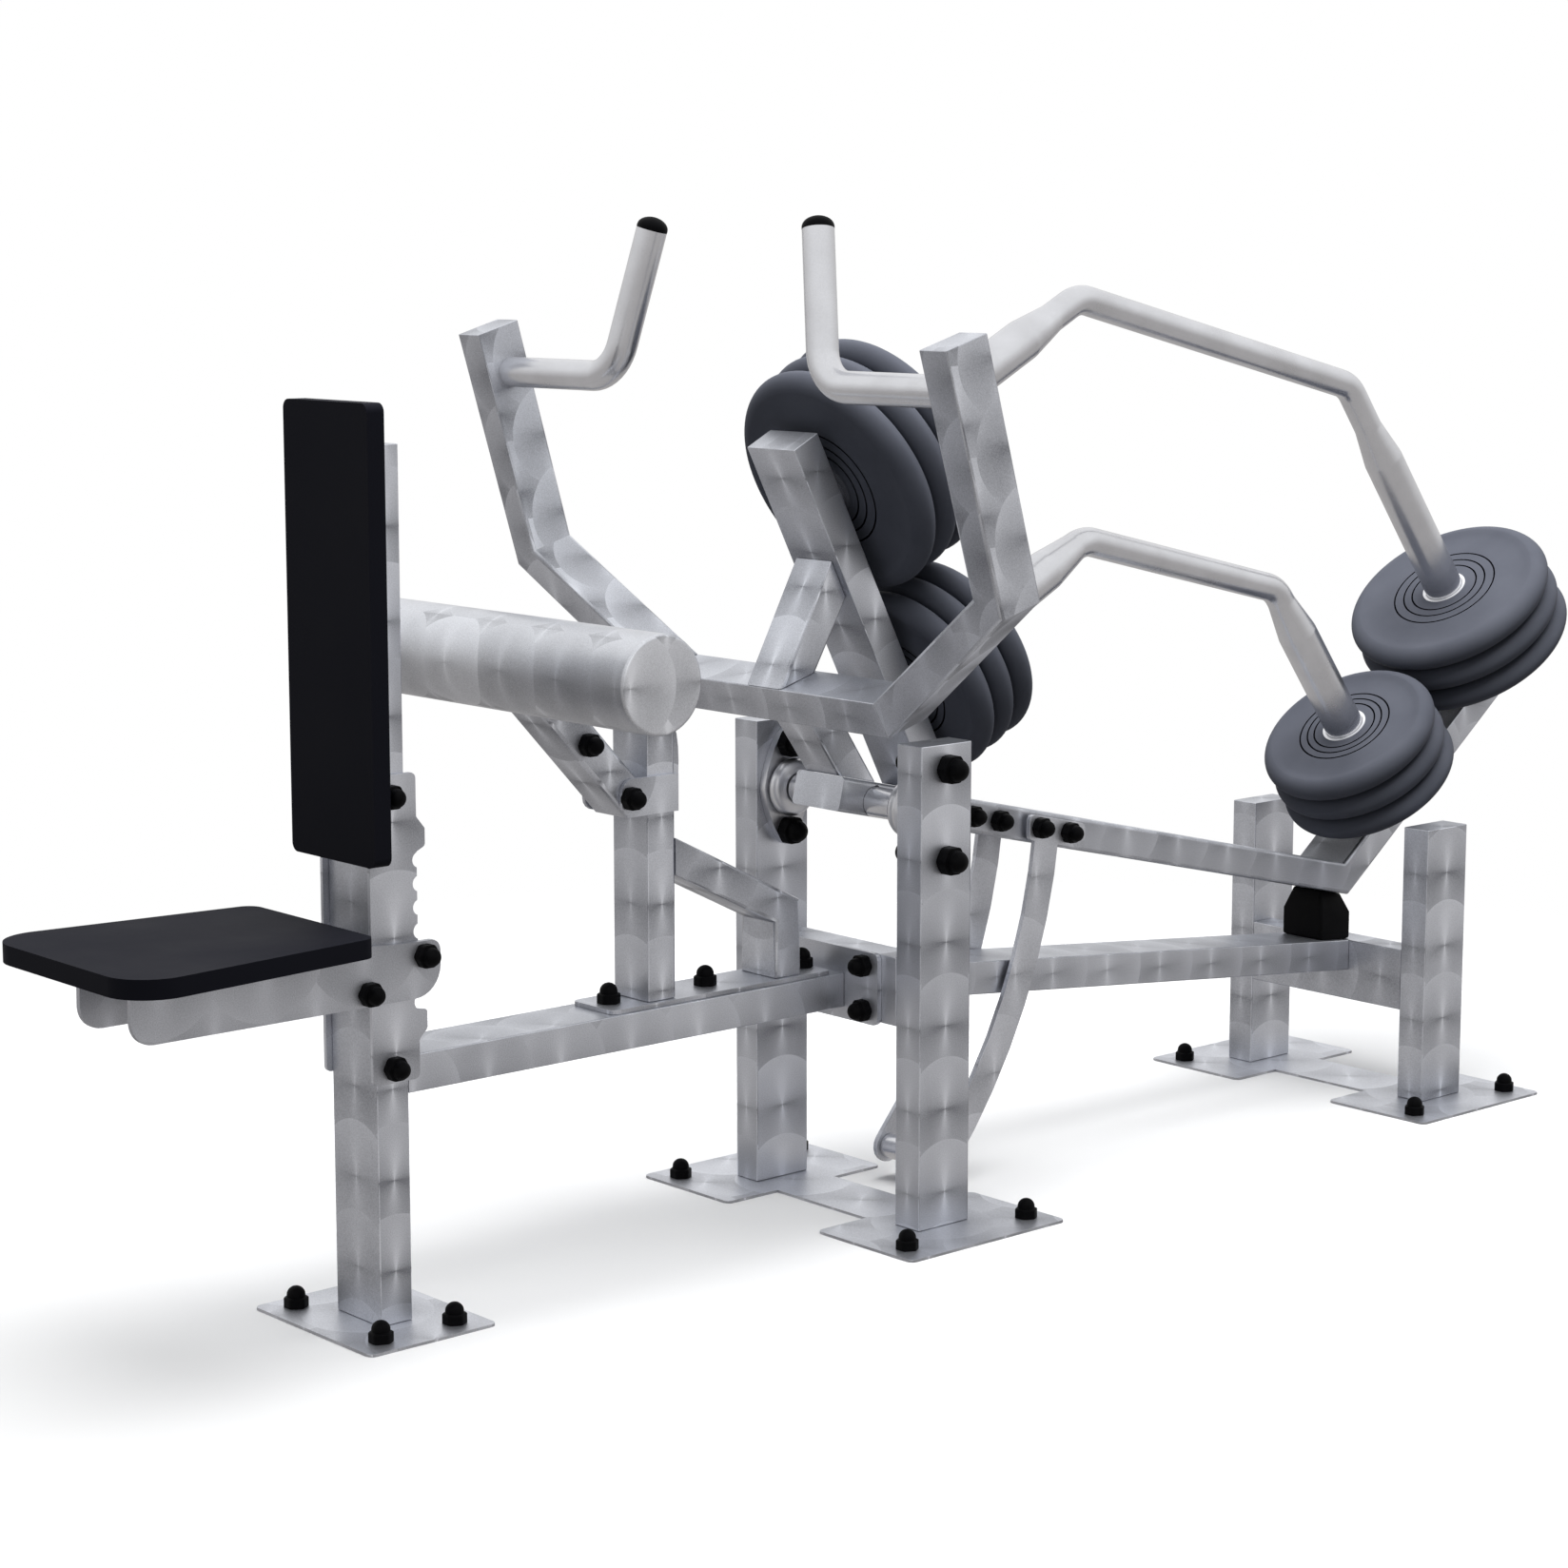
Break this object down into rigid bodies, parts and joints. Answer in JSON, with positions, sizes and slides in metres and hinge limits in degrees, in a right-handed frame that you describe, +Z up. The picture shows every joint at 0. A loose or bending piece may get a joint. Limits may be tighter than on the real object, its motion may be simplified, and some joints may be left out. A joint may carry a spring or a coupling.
{
  "type": "outdoor rowing machine",
  "caption": "Galvanised outdoor rowing trainer with a chest pad, a height-adjustable seat, a cross drum for the feet and a rocking lever that carries sliding weight discs on bent tubes.",
  "frame": {"origin": "on the ground, under the middle of the ground plate between the two main columns", "axes": "+Y from the seat towards the far weight discs, +X towards the user's right when seated facing the weights, +Z up"},
  "size_m": [1.03, 2.8773, 1.4303],
  "materials": {
    "galvanised_steel": "hot-dip galvanised, overlapping fan-shaped sheen",
    "bright_steel": "smooth bright zinc",
    "disc_rubber": "satin charcoal rubber",
    "pad_plastic": "satin black board with softened edges",
    "black_rubber": "matte black"
  },
  "bodies": {
    "frame": {"front_base_plate": "galvanised_steel", "main_base_plate": "galvanised_steel", "rear_base_plate": "galvanised_steel", "main_column_right": "galvanised_steel", "main_column_left": "galvanised_steel", "rear_column_right": "galvanised_steel", "rear_column_left": "galvanised_steel", "main_cross_beam": "galvanised_steel", "rear_cross_beam": "galvanised_steel", "front_post": "galvanised_steel", "front_beam": "galvanised_steel", "beam_flange": "galvanised_steel", "rear_beam": "galvanised_steel", "rubber_buffer": "black_rubber", "chest_pad": "pad_plastic", "rack_plate_right": "galvanised_steel", "rack_plate_left": "galvanised_steel", "drum_base_strip": "galvanised_steel", "drum_column": "galvanised_steel", "drum_strut": "galvanised_steel", "drum_bracket": "galvanised_steel", "cross_drum": "galvanised_steel", "bearing_right": "bright_steel", "bearing_left": "bright_steel"},
    "lever": {"pivot_shaft": "bright_steel", "lever_beam": "galvanised_steel", "lever_post": "galvanised_steel", "lever_leg": "galvanised_steel", "lever_brace": "galvanised_steel", "cross_member": "galvanised_steel", "handle_arm_right": "galvanised_steel", "handle_arm_left": "galvanised_steel", "handle_right": "bright_steel", "handle_left": "bright_steel", "handle_cap_right": "black_rubber", "handle_cap_left": "black_rubber", "upper_weight_tube": "bright_steel", "lower_weight_tube": "bright_steel", "stirrup_bar_right": "galvanised_steel", "stirrup_bar_left": "galvanised_steel", "stirrup_pin": "bright_steel"},
    "seat": {"seat_arm_right": "galvanised_steel", "seat_arm_left": "galvanised_steel", "seat_hook_rod": "bright_steel", "seat_front_rod": "bright_steel", "seat_board": "pad_plastic"},
    "upper_near_disc_inner": {"upper_near_disc_inner": "disc_rubber"},
    "upper_near_disc_middle": {"upper_near_disc_middle": "disc_rubber"},
    "upper_near_disc_outer": {"upper_near_disc_outer": "disc_rubber"},
    "lower_near_disc_inner": {"lower_near_disc_inner": "disc_rubber"},
    "lower_near_disc_middle": {"lower_near_disc_middle": "disc_rubber"},
    "lower_near_disc_outer": {"lower_near_disc_outer": "disc_rubber"},
    "upper_far_disc_inner": {"upper_far_disc_inner": "disc_rubber"},
    "upper_far_disc_middle": {"upper_far_disc_middle": "disc_rubber"},
    "upper_far_disc_outer": {"upper_far_disc_outer": "disc_rubber"},
    "lower_far_disc_inner": {"lower_far_disc_inner": "disc_rubber"},
    "lower_far_disc_middle": {"lower_far_disc_middle": "disc_rubber"},
    "lower_far_disc_outer": {"lower_far_disc_outer": "disc_rubber"}
  },
  "joints": [
    {"name": "lever_pivot", "type": "hinge", "parent": "frame", "child": "lever", "pos_m": [0, 0, 0.6], "axis": [1, 0, 0], "range_deg": [0, 36]},
    {"name": "upper_near_disc_inner_slide", "type": "slide", "parent": "lever", "child": "upper_near_disc_inner", "axis": [0, 0.8878, 0.4602], "range_m": [0, 0.13]},
    {"name": "upper_near_disc_middle_slide", "type": "slide", "parent": "upper_near_disc_inner", "child": "upper_near_disc_middle", "axis": [0, 0.8878, 0.4602], "range_m": [0, 0.13]},
    {"name": "upper_near_disc_outer_slide", "type": "slide", "parent": "upper_near_disc_middle", "child": "upper_near_disc_outer", "axis": [0, 0.8878, 0.4602], "range_m": [0, 0.13]},
    {"name": "lower_near_disc_inner_slide", "type": "slide", "parent": "lever", "child": "lower_near_disc_inner", "axis": [0, 0.8878, 0.4602], "range_m": [0, 0.085]},
    {"name": "lower_near_disc_middle_slide", "type": "slide", "parent": "lower_near_disc_inner", "child": "lower_near_disc_middle", "axis": [0, 0.8878, 0.4602], "range_m": [0, 0.085]},
    {"name": "lower_near_disc_outer_slide", "type": "slide", "parent": "lower_near_disc_middle", "child": "lower_near_disc_outer", "axis": [0, 0.8878, 0.4602], "range_m": [0, 0.085]},
    {"name": "upper_far_disc_inner_slide", "type": "slide", "parent": "lever", "child": "upper_far_disc_inner", "axis": [0, -0.6088, 0.7934], "range_m": [0, 0.13]},
    {"name": "upper_far_disc_middle_slide", "type": "slide", "parent": "upper_far_disc_inner", "child": "upper_far_disc_middle", "axis": [0, -0.6088, 0.7934], "range_m": [0, 0.13]},
    {"name": "upper_far_disc_outer_slide", "type": "slide", "parent": "upper_far_disc_middle", "child": "upper_far_disc_outer", "axis": [0, -0.6088, 0.7934], "range_m": [0, 0.13]},
    {"name": "lower_far_disc_inner_slide", "type": "slide", "parent": "lever", "child": "lower_far_disc_inner", "axis": [0, -0.6088, 0.7934], "range_m": [0, 0.085]},
    {"name": "lower_far_disc_middle_slide", "type": "slide", "parent": "lower_far_disc_inner", "child": "lower_far_disc_middle", "axis": [0, -0.6088, 0.7934], "range_m": [0, 0.085]},
    {"name": "lower_far_disc_outer_slide", "type": "slide", "parent": "lower_far_disc_middle", "child": "lower_far_disc_outer", "axis": [0, -0.6088, 0.7934], "range_m": [0, 0.085]},
    {"name": "seat_tilt", "type": "hinge", "parent": "frame", "child": "seat", "pos_m": [0, -0.8025, 0.489], "axis": [-1, 0, 0], "range_deg": [0, 30]}
  ]
}
